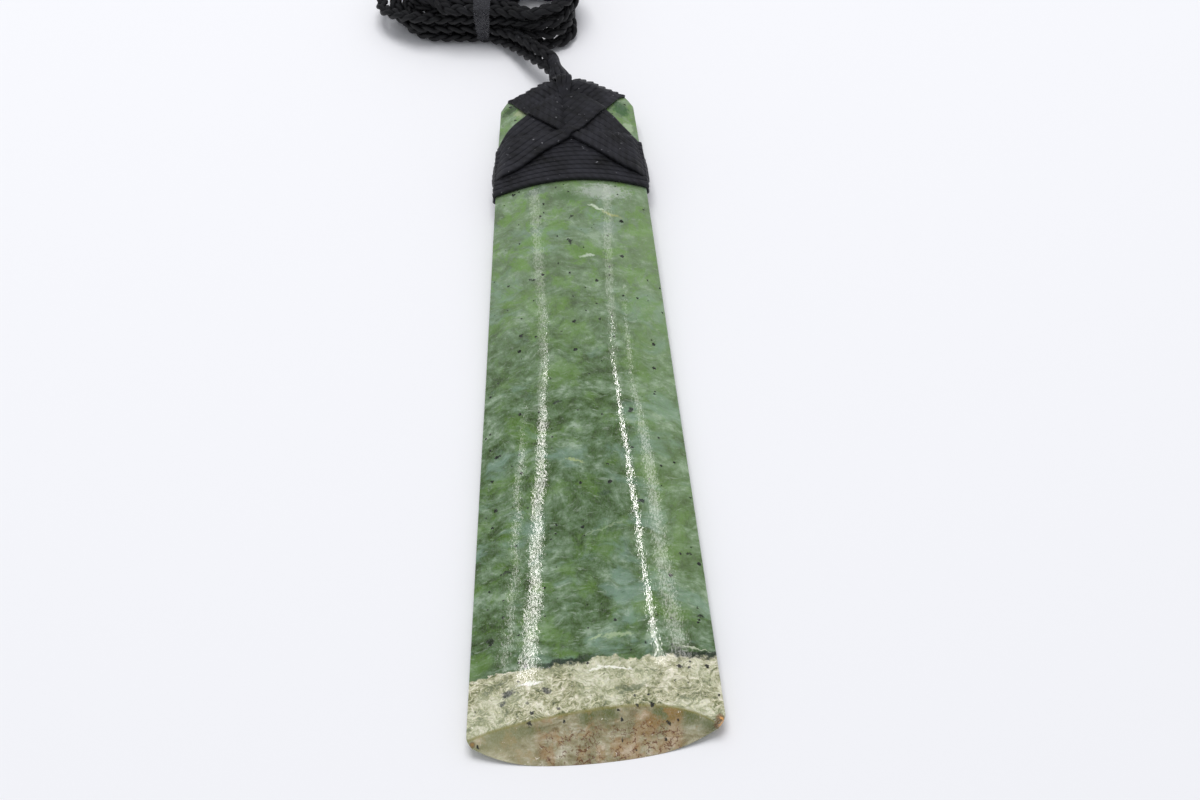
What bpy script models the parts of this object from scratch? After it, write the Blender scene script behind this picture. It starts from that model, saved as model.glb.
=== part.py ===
"""Jade adze pendant, lying bevel side up: a polished stone blade, its cord lashing, and a neck cord in a hank.

Metres, +Z up. The stone lies along Y with its cutting edge at -Y. While the pieces are made, y = 0 is the
line through the blade's two corners; at the end all of them are moved so that the origin is under the
middle of the stone and its lashing. The stone, the turns, the cross and their blanks are all offsets of
one section, so they follow the same outline.
"""

import math

import bmesh
import bpy
from mathutils import Matrix, Vector

MM = 0.001

# Fits
GAP = 0.3 * MM  # between pieces that touch
FLOOR_GAP = 0.05 * MM  # under the hank and the lashing

# Stone
STONE_LENGTH = 124.6 * MM  # blade corners to butt; the edge bows out beyond the corners
BLADE_WIDTH = 36.3 * MM
BUTT_WIDTH = 21.9 * MM
SIDE_BOW = 0.1 * MM
BLADE_CROWN = 4.8 * MM  # height of the back's ridge above the table at the blade
BUTT_CROWN = 7.1 * MM
BLADE_SIDE = 0.6 * MM  # height of the narrow side edges
BUTT_SIDE = 0.9 * MM
SIDE_ROUND = 0.25 * MM
BLADE_ROLL = 1.9 * MM  # how far the underside curves up from its flat to the side edges
BUTT_ROLL = 0.5 * MM
FLAT_SHARE = 0.42  # share of the half width that is flat underneath
BUTT_LIFT = 2.45 * MM  # rise of the underside toward the butt
LIFT_START = 60 * MM
LIFT_END = 114 * MM

# Bevel and corners
BEVEL_ANGLE = math.radians(41)
BEVEL_TWIST = math.radians(4)  # steeper at the left corner, shallower at the right
EDGE_BOW = 1.9 * MM
EDGE_SKEW = 0.044  # the cutting edge runs a little askew
CORNER_START = 1.2 * MM  # where the blade's corners begin to round off
CORNER_INSET = 0.5 * MM
BUTT_ROUND = 1.6 * MM
BUTT_CORNER = 1.2 * MM
BUTT_DROP = 1.0 * MM
BUTT_RISE = 0.15 * MM

# Lashing
CORD = 1.0 * MM
CORD_LAID = 0.8 * MM  # height of the cord once it is pulled tight
TURNS = 10
TURNS_FROM_BUTT = 22.3 * MM  # first turn's lower edge
TURN_GROOVE = 0.35 * MM
CROSS_LOW = 12.2 * MM  # the cross's lower notch, back from the butt
CROSS_HIGH = 1.2 * MM  # its notch at the butt
CROSS_SIDE = (6.1 * MM, 6.0 * MM)  # its side notches: off the centre line, and back from the butt
BAND_LOW_SIDE = 19.3 * MM  # where a band's two borders go round the stone's side, back from the butt
BAND_HIGH_SIDE = 10.7 * MM
BAND_INNER = 1.7 * MM  # where its borders go over the butt, off the centre line
BAND_OUTER = 9.6 * MM
BORDER_SWEEP = 1.5  # how much more steeply the lower border runs at the cross than at the side
BAND_STEP = 1.2 * MM  # length of the step where a band comes down off the turns

# Neck whipping
WHIP_LENGTH = 7.2 * MM
WHIP_TURNS = 7
WHIP_BASE_RADIUS = 1.7 * MM
WHIP_END_RADIUS = 1.05 * MM
WHIP_GROOVE = 0.12 * MM
WHIP_OFFSET = -0.9 * MM
WHIP_HEIGHT = 6.3 * MM
WHIP_HEADING = math.radians(9)  # to the left of straight on
WHIP_FALL = math.radians(13)

# Neck cord
PLAIT = 2.2 * MM
PLAIT_POINT_SPACING = 2.0 * PLAIT
# Routes from the whipping to the hank, in millimetres from the middle of the butt on the table.
LOWER_ROUTE = [(-3.2, 9.4, 3.7), (-4.1, 11.0, 3.1), (-5.7, 13.2, 2.5), (-8.2, 16.4, 1.9)]
UPPER_ROUTE = [(-1.3, 9.9, 5.4), (-2.1, 11.1, 5.6), (-3.4, 12.9, 5.4), (-5.6, 16.0, 4.7)]

# Hank, with the place of its front side's middle in millimetres from the middle of the butt
HANK_PLACE = (-14.2, 18.3)
HANK_TURN = math.radians(-5)
HANK_LEFT = 17.6 * MM  # how far its two ends reach from the tie
HANK_RIGHT = 17.3 * MM
LEFT_ROUNDING = 10.2 * MM
RIGHT_ROUNDING = 7.3 * MM
HANK_WIDTH = 15.4 * MM
HANK_HEIGHT = 8.5 * MM
HANK_WAIST = 8.8 * MM
EYES = ((9.0 * MM, 3.9 * MM), (-7.4 * MM, 3.3 * MM))  # the open loops: place along the hank, half length
EYE_WIDTH = 6.0 * MM
HANK_EDGE = 0.8 * MM
TIE_WIDTH = 3.0 * MM
TIE_THICK = 0.6 * MM
TIE_CORNER = 1.6 * MM
TIE_BITE = 0.4 * MM  # how far the tie draws the waist in

# Fineness
DOME_STEPS = 9
UNDER_STEPS = 4
CORNER_STEPS = 2
RIB_STEPS = 4
ROUND_STEPS = 14

for leftover in list(bpy.data.objects):
    bpy.data.objects.remove(leftover, do_unlink=True)

adze = bpy.data.collections.new("jade_adze_pendant")
cutters = bpy.data.collections.new("cutters")
for collection in (adze, cutters):
    bpy.context.scene.collection.children.link(collection)


def blend(start, end, share):
    return start + (end - start) * share


def ease(share):
    share = min(max(share, 0.0), 1.0)
    return share * share * (3 - 2 * share)


def material(name, colour, roughness, metallic=0.0, alpha=1.0):
    made = bpy.data.materials.new(name)
    made.use_nodes = True
    shader = made.node_tree.nodes["Principled BSDF"]
    shader.inputs["Base Color"].default_value = (*colour, 1.0)
    shader.inputs["Roughness"].default_value = roughness
    shader.inputs["Metallic"].default_value = metallic
    shader.inputs["Alpha"].default_value = alpha
    return made


def add_object(name, data, collection, surface=None):
    made = bpy.data.objects.new(name, data)
    collection.objects.link(made)
    if surface:
        data.materials.append(surface)
    if collection is cutters:
        made.hide_render = True
        made.display_type = "WIRE"
    return made


def shade_smooth(mesh, angle=math.radians(35)):
    mesh.shade_smooth()
    mesh.set_sharp_from_angle(angle=angle)


# The stone's outline and section

def half_width(y):
    share = min(y / STONE_LENGTH, 1.0)
    return blend(BLADE_WIDTH, BUTT_WIDTH, share) / 2 + SIDE_BOW * 4 * share * (1 - share)


def end_share(y):
    """How far the butt's rounding has come in at y, from 0 to 1, and the angle of its surface there."""
    reach = min(max((y - STONE_LENGTH + BUTT_ROUND) / BUTT_ROUND, 0.0), 1.0)
    return 1 - math.sqrt(1 - reach * reach), math.asin(reach)


def plan_inset(y):
    """What the rounded corners of the blade and of the butt take off the half width."""
    past_corner = max(CORNER_START - y, 0.0) / CORNER_START
    drawn_in = past_corner**2 if past_corner < 2 else 4 * (past_corner - 1)
    return CORNER_INSET * drawn_in + BUTT_CORNER * end_share(y)[0]


def underside(u, y):
    """Height of the underside at u, the share of the half width."""
    lift = BUTT_LIFT * ease((y - LIFT_START) / (LIFT_END - LIFT_START))
    roll = blend(BLADE_ROLL, BUTT_ROLL, min(max(y / STONE_LENGTH, 0.0), 1.0))
    beyond_flat = max(abs(u) - FLAT_SHARE, 0.0) / (1 - FLAT_SHARE)
    return lift + roll * beyond_flat**2 + BUTT_RISE * end_share(y)[0]


def side_top(y):
    share = min(max(y / STONE_LENGTH, 0.0), 1.0)
    return underside(1, y) + blend(BLADE_SIDE, BUTT_SIDE, share) - BUTT_RISE * end_share(y)[0]


def crown(y):
    share = min(y / STONE_LENGTH, 1.0)
    return blend(BLADE_CROWN, BUTT_CROWN, share) - BUTT_DROP * end_share(y)[0]


def half_section(y):
    """The right half of the section at y, from the crown down to the flat underneath, as (x, z, lean).

    The points lie SIDE_ROUND inside the stone's surface, and lean is the angle of the surface there:
    0 faces up, a quarter turn faces +X and a half turn faces down.
    """
    full = half_width(y)
    reach = full - plan_inset(y) - SIDE_ROUND
    rise = crown(y) - side_top(y)
    points = []
    for step in range(DOME_STEPS + 1):
        x = reach * step / DOME_STEPS
        z = crown(y) - rise * (x / full) ** 2 - SIDE_ROUND
        points.append((x, z, math.atan(2 * rise * x / full**2)))
    x, top_z, top_lean = points[-1]
    under = []
    for step in range(UNDER_STEPS + 1):
        u = blend(FLAT_SHARE, reach / full, step / UNDER_STEPS)
        ahead = underside(u + 0.01, y) - underside(u, y)
        under.append((u * full, underside(u, y) + SIDE_ROUND, math.pi - math.atan(ahead / (0.01 * full))))
    low_z, low_lean = under[-1][1:]
    for step in range(1, CORNER_STEPS + 1):
        points.append((x, top_z, blend(top_lean, math.pi / 2, step / CORNER_STEPS)))
    for step in range(CORNER_STEPS):
        points.append((x, low_z, blend(math.pi / 2, low_lean, step / CORNER_STEPS)))
    return points + under[::-1]


def ring(y, grow=0.0):
    """The whole section at y, moved out by grow square to the stone's surface."""
    lean_back = end_share(y)[1]
    out = SIDE_ROUND + grow * math.cos(lean_back)
    placed_y = y + grow * math.sin(lean_back)
    right = [
        Vector((x + out * math.sin(lean), placed_y, z + out * math.cos(lean)))
        for x, z, lean in half_section(y)
    ]
    left = [Vector((-point.x, point.y, point.z)) for point in right[:0:-1]]
    return right + left


def loft(name, rings, collection, surface=None, tube=False):
    """A closed skin over rings of equally many points: capped, or joined end to start as a tube's wall is."""
    shape = bmesh.new()
    rows = [[shape.verts.new(point) for point in points] for points in rings]
    count = len(rows[0])
    pairs = list(zip(rows, rows[1:] + rows[:1] if tube else rows[1:]))
    for here, there in pairs:
        for i in range(count):
            after = (i + 1) % count
            shape.faces.new((here[i], here[after], there[after], there[i]))
    if not tube:
        shape.faces.new(rows[0])
        shape.faces.new(rows[-1])
    bmesh.ops.recalc_face_normals(shape, faces=shape.faces)
    bmesh.ops.triangulate(shape, faces=shape.faces)
    mesh = bpy.data.meshes.new(name)
    shape.to_mesh(mesh)
    shape.free()
    shade_smooth(mesh)
    return add_object(name, mesh, collection, surface)


def stations(start, end, spacing):
    """Stations from start to end: evenly spaced up to the butt's rounding, then closer round it."""
    round_start = STONE_LENGTH - BUTT_ROUND
    straight_end = min(end, round_start)
    count = max(round((straight_end - start) / spacing), 1)
    places = [blend(start, straight_end, i / count) for i in range(count + 1)]
    if end > round_start:
        places += [round_start + BUTT_ROUND * math.sin(math.radians(a)) for a in (25, 50, 70, 90)]
    return places


def plate(name, outlines, thickness, collection):
    """A flat plate with the first of the closed outlines and holes at the others, as a welded mesh."""
    curve = bpy.data.curves.new(name, "CURVE")
    curve.dimensions = "2D"
    curve.fill_mode = "BOTH"
    curve.extrude = thickness / 2
    for outline in outlines:
        spline = curve.splines.new("POLY")
        spline.points.add(len(outline) - 1)
        for point, (x, y) in zip(spline.points, outline):
            point.co = (x, y, 0, 1)
        spline.use_cyclic_u = True
    drawn = add_object(name + "_outline", curve, collection)
    bpy.context.view_layer.update()
    evaluated = drawn.evaluated_get(bpy.context.evaluated_depsgraph_get())
    mesh = bpy.data.meshes.new_from_object(evaluated)
    bpy.data.objects.remove(drawn)
    shape = bmesh.new()
    shape.from_mesh(mesh)
    bmesh.ops.remove_doubles(shape, verts=shape.verts, dist=0.001 * MM)
    bmesh.ops.recalc_face_normals(shape, faces=shape.faces)
    shape.to_mesh(mesh)
    shape.free()
    return add_object(name, mesh, collection)


def cut(piece, other, operation="DIFFERENCE"):
    boolean = piece.modifiers.new(f"{operation.lower()} {other.name}", "BOOLEAN")
    boolean.operation = operation
    boolean.object = other
    boolean.solver = "EXACT"


# The stone blade

def edge_line(x):
    """Where the bevel meets the table's level, at x."""
    u = x / half_width(0)
    return EDGE_SKEW * x - EDGE_BOW * (1 - u * u) - BLADE_ROLL / math.tan(BEVEL_ANGLE)


def bevel_slope(x):
    return math.tan(BEVEL_ANGLE - BEVEL_TWIST * x / half_width(0))


def bevel_cutter():
    """A plate whose back wall leans over the stone: the bevel, ruled from the cutting edge to the crest."""
    reach = half_width(0) + 4 * MM
    front = edge_line(0) - 12 * MM
    count = 28
    xs = [blend(reach, -reach, i / count) for i in range(count + 1)]
    outline = [(-reach, front), (reach, front)] + [(x, edge_line(x)) for x in xs]
    tall = 2 * (BLADE_CROWN + 4 * MM)
    made = plate("bevel_cutter", [outline], tall, cutters)
    shape = bmesh.new()
    shape.from_mesh(made.data)
    bmesh.ops.triangulate(shape, faces=shape.faces)
    for vertex in shape.verts:
        if vertex.co.y > front + 0.5 * MM:
            vertex.co.y += vertex.co.z / bevel_slope(vertex.co.x)
    shape.to_mesh(made.data)
    shape.free()
    return made


def stone_blade():
    surface = material("polished_jade", (0.16, 0.28, 0.14), 0.22)
    start = edge_line(0) - 1.5 * MM
    places = [start, edge_line(0) / 2, 0, CORNER_START] + stations(4 * MM, STONE_LENGTH, 5.5 * MM)
    blade = loft("stone_blade", [ring(y) for y in places], adze, surface)
    cut(blade, bevel_cutter())
    return blade


# The lashing

def turns_start():
    return STONE_LENGTH - TURNS_FROM_BUTT


def turns_end():
    return turns_start() + TURNS * CORD


def lashing_turns():
    """The turns as one ribbed sleeve round the stone."""
    surface = material("waxed_cord", (0.028, 0.028, 0.032), 0.6)
    rings = [ring(turns_start(), GAP)]
    for step in range(TURNS * RIB_STEPS + 1):
        phase = step / RIB_STEPS % 1.0
        height = math.sqrt(1 - (2 * phase - 1) ** 2)
        grow = GAP + CORD_LAID - TURN_GROOVE * (1 - height)
        rings.append(ring(turns_start() + step * CORD / RIB_STEPS, grow))
    rings.append(ring(turns_end(), GAP))
    return loft("lashing_turns", rings, adze, surface, tube=True)


def over_turns(y):
    """1 where a band lies on the turns, 0 beyond them."""
    return 1 - ease((y - turns_end() - GAP) / BAND_STEP)


def cross_outline():
    """The plan of two crossing bands, each from one side of the stone to the other half of the butt."""
    side_x = half_width(STONE_LENGTH - BAND_LOW_SIDE)
    past_side = 5 * MM
    past_butt = 4 * MM
    right = []
    for step in range(7):
        x = side_x * step / 6
        fall = (BAND_LOW_SIDE - CROSS_LOW) * (1 - x / side_x) ** BORDER_SWEEP
        right.append((x, STONE_LENGTH - BAND_LOW_SIDE + fall))
    notch = Vector((CROSS_SIDE[0], STONE_LENGTH - CROSS_SIDE[1]))
    high_side = Vector((side_x, STONE_LENGTH - BAND_HIGH_SIDE))
    outer = Vector((BAND_OUTER, STONE_LENGTH))
    right += [
        (side_x + past_side, right[-1][1]),
        (side_x + past_side, high_side.y),
        tuple(high_side),
        tuple(notch),
        tuple(outer + (outer - notch).normalized() * past_butt),
        (BAND_INNER + past_butt / 2, STONE_LENGTH + past_butt),
        (BAND_INNER, STONE_LENGTH + CORD),
        (0.0, STONE_LENGTH - CROSS_HIGH),
    ]
    left = [(-x, y) for x, y in right[-2:0:-1]]
    return right + left


def lashing_cross():
    """Two crossing bands over the turns and round the butt: a grown blank, kept inside the X, less the stone."""
    surface = material("waxed_cord_bands", (0.03, 0.03, 0.034), 0.6)
    first = turns_start() + GAP

    def blank(name, start, lift, collection, skin=None):
        places = stations(start, STONE_LENGTH, 1.6 * MM)
        rings = [ring(y, lift + over_turns(y) * (CORD_LAID + GAP)) for y in places]
        return loft(name, rings, collection, skin)

    bands = blank("lashing_cross", first, GAP + CORD_LAID, adze, surface)
    room = blank("lashing_room", first - 2 * MM, GAP, cutters)
    cross = plate("cross_plan", [cross_outline()], 40 * MM, cutters)
    cut(bands, cross, "INTERSECT")
    cut(bands, room)
    return bands


# The neck whipping

def whip_frame():
    """The whipping's place and turn: its own +Z runs along it, away from the butt."""
    base = Vector((WHIP_OFFSET, STONE_LENGTH + 2 * GAP + CORD_LAID, WHIP_HEIGHT))
    base.y += WHIP_BASE_RADIUS * math.sin(WHIP_FALL)
    heading = Vector(
        (
            -math.sin(WHIP_HEADING) * math.cos(WHIP_FALL),
            math.cos(WHIP_HEADING) * math.cos(WHIP_FALL),
            -math.sin(WHIP_FALL),
        )
    )
    return Matrix.Translation(base) @ heading.to_track_quat("Z", "X").to_matrix().to_4x4()


def neck_whipping():
    """A turned, tapering roll with one rib for each turn of cord."""
    surface = material("waxed_cord_whipping", (0.026, 0.026, 0.03), 0.6)
    profile = [(0.0, WHIP_LENGTH)]
    count = WHIP_TURNS * RIB_STEPS
    for step in range(count, -1, -1):
        phase = step / RIB_STEPS % 1.0
        dip = WHIP_GROOVE * (1 - math.sqrt(1 - (2 * phase - 1) ** 2))
        share = step / count
        profile.append((blend(WHIP_BASE_RADIUS, WHIP_END_RADIUS, share) - dip, WHIP_LENGTH * share))
    profile.append((0.0, 0.0))
    mesh = bpy.data.meshes.new("neck_whipping")
    edges = [(i, i + 1) for i in range(len(profile) - 1)]
    mesh.from_pydata([(radius, 0, height) for radius, height in profile], edges, [])
    made = add_object("neck_whipping", mesh, adze, surface)
    made.matrix_world = whip_frame()
    screw = made.modifiers.new("turn", "SCREW")
    screw.steps = ROUND_STEPS
    screw.render_steps = ROUND_STEPS
    screw.use_merge_vertices = True
    screw.merge_threshold = 0.01 * MM
    return made


# The neck cord

def smooth_route(points, spacing):
    """Points at about the given spacing along a smooth curve through the route's own points."""
    knots = [points[0] * 2 - points[1], *points, points[-1] * 2 - points[-2]]
    route = []
    for before, start, end, after in zip(knots, knots[1:], knots[2:], knots[3:]):
        count = max(round((end - start).length / spacing), 1)
        for step in range(count):
            t = step / count
            leave, arrive = (end - before) / 2, (after - start) / 2
            route.append(
                start * (2 * t**3 - 3 * t**2 + 1)
                + leave * (t**3 - 2 * t**2 + t)
                + end * (3 * t**2 - 2 * t**3)
                + arrive * (t**3 - t**2)
            )
    return route + [points[-1]]


def neck_cord(name, route_mm, surface):
    from_butt = Vector((0, STONE_LENGTH, 0))
    points = smooth_route([Vector(point) * MM + from_butt for point in route_mm], PLAIT_POINT_SPACING / 2)
    curve = bpy.data.curves.new(name, "CURVE")
    curve.dimensions = "3D"
    curve.bevel_depth = PLAIT / 2
    curve.bevel_resolution = 2
    curve.use_fill_caps = True
    spline = curve.splines.new("POLY")
    spline.points.add(len(points) - 1)
    for place, point in zip(spline.points, points):
        place.co = (*point, 1)
    return add_object(name, curve, adze, surface)


# The hank and its tie

def hank_frame():
    """The hank's place and turn: its own +X runs along it, from the middle of its front side."""
    place = Vector((HANK_PLACE[0] * MM, STONE_LENGTH + HANK_PLACE[1] * MM, FLOOR_GAP + HANK_HEIGHT / 2))
    return Matrix.Translation(place) @ Matrix.Rotation(HANK_TURN, 4, "Z")


def hank_outline():
    """A straight front, two round ends and a back that is drawn in toward the tie."""
    middle = HANK_WIDTH / 2
    right, left = HANK_RIGHT - RIGHT_ROUNDING, HANK_LEFT - LEFT_ROUNDING
    angles = [math.radians(a) for a in range(-75, 90, 15)]
    right_end = [(right + RIGHT_ROUNDING * math.cos(a), middle + middle * math.sin(a)) for a in angles]
    left_end = [(-left - LEFT_ROUNDING * math.cos(a), middle - middle * math.sin(a)) for a in angles]
    back = []
    for x in [right * (1 - i / 8) for i in range(8)] + [-left * i / 7 for i in range(8)]:
        drawn = (1 + math.cos(math.pi * x / (right if x > 0 else left))) / 2
        back.append((x, HANK_WIDTH - (HANK_WIDTH - HANK_WAIST) * drawn))
    return [(right, 0.0), *right_end, *back, *left_end, (-left, 0.0)]


def eye_outline(along, half_length):
    angles = [math.radians(a) for a in range(0, 360, 30)]
    middle = HANK_WIDTH / 2
    return [(along + half_length * math.cos(a), middle + EYE_WIDTH / 2 * math.sin(a)) for a in angles]


def rounded_box(width, height, corner):
    points = []
    for quarter, (sx, sy) in enumerate(((1, 1), (-1, 1), (-1, -1), (1, -1))):
        for step in range(5):
            angle = math.radians(90 * quarter + 22.5 * step)
            points.append(
                (
                    sx * (width / 2 - corner) + corner * math.cos(angle),
                    sy * (height / 2 - corner) + corner * math.sin(angle),
                )
            )
    return points


def band_round_hank(name, outset, thickness, width, collection):
    """A band round the hank's waist, its inner face outset from the bottom of the waist's groove."""
    depth = GAP + TIE_THICK
    inner_width = HANK_WAIST - 2 * TIE_BITE + 2 * outset
    inner_height = HANK_HEIGHT - 2 * depth + 2 * outset
    inner = rounded_box(inner_width, inner_height, TIE_CORNER)
    outer = rounded_box(inner_width + 2 * thickness, inner_height + 2 * thickness, TIE_CORNER + thickness)
    made = plate(name, [outer, inner], width, collection)
    stand = Matrix.Rotation(math.radians(90), 4, "Z") @ Matrix.Rotation(math.radians(90), 4, "X")
    made.matrix_world = hank_frame() @ Matrix.Translation((0, HANK_WAIST / 2, 0)) @ stand
    return made


def neck_cord_hank(surface):
    openings = [eye_outline(*eye) for eye in EYES]
    hank = plate("neck_cord_hank", [hank_outline(), *openings], HANK_HEIGHT, adze)
    hank.data.materials.append(surface)
    hank.matrix_world = hank_frame()
    soften = hank.modifiers.new("rounded edges", "BEVEL")
    soften.width = HANK_EDGE
    soften.segments = 2
    soften.limit_method = "ANGLE"
    soften.angle_limit = math.radians(60)
    groove = band_round_hank("tie_groove", 0.0, 4 * MM, TIE_WIDTH + 2 * GAP, cutters)
    cut(hank, groove)
    return hank


def hank_tie():
    tie = band_round_hank("hank_tie", GAP, TIE_THICK, TIE_WIDTH, adze)
    tie.data.materials.append(material("clear_plastic", (0.8, 0.82, 0.84), 0.15, alpha=0.5))
    return tie


plaited = material("plaited_cord", (0.022, 0.022, 0.026), 0.65)
made_pieces = [
    stone_blade(),
    lashing_turns(),
    lashing_cross(),
    neck_whipping(),
]
cord_pieces = [
    neck_cord("neck_cord_1", LOWER_ROUTE, plaited),
    neck_cord("neck_cord_2", UPPER_ROUTE, plaited),
    neck_cord_hank(plaited),
    hank_tie(),
]

# The origin goes under the middle of the stone and its lashing, whipping included.
bpy.context.view_layer.update()
depsgraph = bpy.context.evaluated_depsgraph_get()
ends = []
for piece in made_pieces:
    evaluated = piece.evaluated_get(depsgraph)
    ends += [(evaluated.matrix_world @ vertex.co).y for vertex in evaluated.data.vertices]
middle = (min(ends) + max(ends)) / 2
origin = bpy.data.objects.new("adze_origin", None)
adze.objects.link(origin)
for placed in [*made_pieces, *cord_pieces, *cutters.objects]:
    placed.parent = origin
origin.location.y = -middle
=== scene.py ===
import math
from functools import partial

import bpy
from mathutils import Matrix, Vector


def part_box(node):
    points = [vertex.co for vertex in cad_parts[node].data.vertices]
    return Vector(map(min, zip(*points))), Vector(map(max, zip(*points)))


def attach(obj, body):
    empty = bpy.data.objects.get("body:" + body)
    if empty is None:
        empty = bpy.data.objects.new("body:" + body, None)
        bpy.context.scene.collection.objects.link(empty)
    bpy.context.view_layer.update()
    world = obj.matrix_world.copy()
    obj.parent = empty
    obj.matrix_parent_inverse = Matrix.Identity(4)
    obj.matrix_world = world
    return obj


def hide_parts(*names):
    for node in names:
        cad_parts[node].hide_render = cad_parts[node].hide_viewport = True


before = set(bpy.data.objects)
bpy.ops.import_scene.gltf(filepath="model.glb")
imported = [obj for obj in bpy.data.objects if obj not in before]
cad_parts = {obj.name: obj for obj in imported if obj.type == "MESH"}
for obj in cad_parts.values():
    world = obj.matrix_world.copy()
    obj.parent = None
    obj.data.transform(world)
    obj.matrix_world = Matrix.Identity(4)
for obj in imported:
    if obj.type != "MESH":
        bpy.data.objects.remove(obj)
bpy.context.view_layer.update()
bpy.ops.object.select_all(action="DESELECT")

# Camera
# The pendant lies on a table and is seen from in front and above, through a long lens that is
# turned a little. The eye is 43 cm from the middle of the stone, 50 degrees above the table.
MM = 0.001
EYE = Vector((0.925, -279.07, 329.47)) * MM
ROLL = math.radians(-2.5)


def toward(azimuth, elevation):
    """A direction in degrees, with the azimuth from straight along the stone toward the right."""
    turned, raised = math.radians(azimuth), math.radians(elevation)
    level = math.cos(raised)
    return Vector((math.sin(turned) * level, math.cos(turned) * level, math.sin(raised)))


def new_object(name, data):
    made = bpy.data.objects.new(name, data)
    bpy.context.scene.collection.objects.link(made)
    return made


forward = toward(0.415, -50)
level_right = forward.cross(Vector((0, 0, 1))).normalized()
level_up = level_right.cross(forward)
right = level_right * math.cos(ROLL) + level_up * math.sin(ROLL)
up = level_up * math.cos(ROLL) - level_right * math.sin(ROLL)
camera_data = bpy.data.cameras.new("camera")
camera_data.lens = 84
camera_data.sensor_width = 36
camera_data.clip_start = 0.01
camera = new_object("camera", camera_data)
turn = Matrix((right, up, -forward)).transposed().to_4x4()
camera.matrix_world = Matrix.Translation(EYE) @ turn
bpy.context.scene.camera = camera
bpy.context.scene.view_settings.view_transform = "Standard"

# Neck cord and its hank
# One plait of three waxed cords, half a metre long. It leaves the whipping as two plaits side by
# side, and its length is wound into a hank of four levels, the two ends of the loop together.
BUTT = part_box("stone_blade")[1][1] / MM  # y of the stone's narrow end
STRAND = 1.0
LINE_STEP = 0.42  # between the points of its middle line
HANK_PLACE = Vector((-14.2, BUTT + 18.3, 0))
HANK_TURN = Matrix.Rotation(math.radians(-5), 3, "Z")
LEVEL = 2.0  # from one level of the hank to the next
LOWEST = 1.15
NESTS = (6.6, 4.4)  # outer and inner lane, each side of the hank's middle
MIDDLE_LANE = 7.7
LEFT_ENDS = (-13.8, -15.3, -14.2, -13.9)  # by level
RIGHT_ENDS = (16.4, 16.4, 15.9, 15.9)
FRONT_BULGES = (0.0, 3.4, 2.8, 0.9)  # by turn: how far a run swells out over the table
HIGH_BULGE = 3.4  # of the third turn on the third level
FOLD_ANGLES = [math.radians(angle) for angle in range(15, 180, 15)]


def blend(start, end, share):
    return start + (end - start) * share


def ease(share):
    share = min(max(share, 0.0), 1.0)
    return share * share * (3 - 2 * share)


def front_run(turn_number, level, start, end):
    """A run along the front of the hank, right to left."""
    lane = MIDDLE_LANE - NESTS[turn_number in (1, 2)]
    bulge = HIGH_BULGE if (turn_number, level) == (2, 2) else FRONT_BULGES[turn_number]
    height = LOWEST + LEVEL * level
    places = [blend(start, end, step / 8) for step in range(9)]
    return [(along, lane - bulge * ease((along - 2) / 7), height) for along in places]


def left_fold(turn_number, level):
    lane = NESTS[turn_number in (1, 2)]
    middle, height = LEFT_ENDS[level] + NESTS[0], LOWEST + LEVEL * level
    return [
        (middle - lane * math.sin(angle), MIDDLE_LANE - lane * math.cos(angle), height)
        for angle in FOLD_ANGLES
    ]


def back_run(turn_number, level, next_level):
    """A run along the back, left to right, that changes lane and level. The tie draws it in."""
    here, there = NESTS[turn_number in (1, 2)], NESTS[turn_number + 1 in (1, 2)]
    start, end = LEFT_ENDS[level] + NESTS[0], RIGHT_ENDS[next_level] - NESTS[0]
    points = []
    for step in range(13):
        along = blend(start, end, step / 12)
        lane = blend(here, there, ease((along - 1) / 8))
        tied = blend(5.4, 7.55, (lane - NESTS[1]) / (NESTS[0] - NESTS[1]))
        drawn = 1 - ease((abs(along) - 1.4) / 6)
        height = LOWEST + LEVEL * blend(level, next_level, ease((along + 8) / 8))
        points.append((along, blend(MIDDLE_LANE + lane, tied, drawn), height))
    return points


# The folds that sag forward over the table, by turn and level, as places along and back.
SAGS = {
    (1, 0): (
        (12.6, 11.2), (14.6, 9.0), (14.8, 6.6), (15.2, 4.4), (15.3, 2.4), (14.1, 0.4), (11.8, -0.5)
    ),
    (1, 1): (
        (12.4, 11.2), (14.3, 9.2), (14.7, 7.0), (14.9, 4.9), (14.6, 2.7), (13.5, 0.8), (11.8, -0.1)
    ),
    (2, 2): (
        (12.0, 11.4), (13.9, 9.4), (14.5, 6.8), (14.5, 4.2), (13.9, 2.0), (12.6, 0.6), (10.9, 0.1)
    ),
    (2, 3): ((12.0, 11.4), (13.8, 9.4), (14.2, 7.0), (13.9, 4.6), (12.9, 2.5), (11.3, 1.3)),
}


def right_fold(turn_number, level):
    lane = NESTS[turn_number in (1, 2)]
    middle, height = RIGHT_ENDS[level] - NESTS[0], LOWEST + LEVEL * level
    if (turn_number, level) in SAGS:
        return [(along, across, height) for along, across in SAGS[turn_number, level]]
    return [
        (middle + lane * math.sin(angle), MIDDLE_LANE + lane * math.cos(angle), height)
        for angle in FOLD_ANGLES
    ]


def hank_winding(levels, first_start, last_end):
    """Four turns of one plait, from its way in at the front to the end of the last front run."""
    points = []
    for turn_number, level in enumerate(levels):
        start = RIGHT_ENDS[level] - NESTS[0] if turn_number else first_start
        last = turn_number == 3
        end = last_end if last else LEFT_ENDS[level] + NESTS[0]
        points += front_run(turn_number, level, start, end)
        if not last:
            points += left_fold(turn_number, level)
            points += back_run(turn_number, level, levels[turn_number + 1])[1:-1]
            points += right_fold(turn_number + 1, levels[turn_number + 1])
    return points


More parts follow.
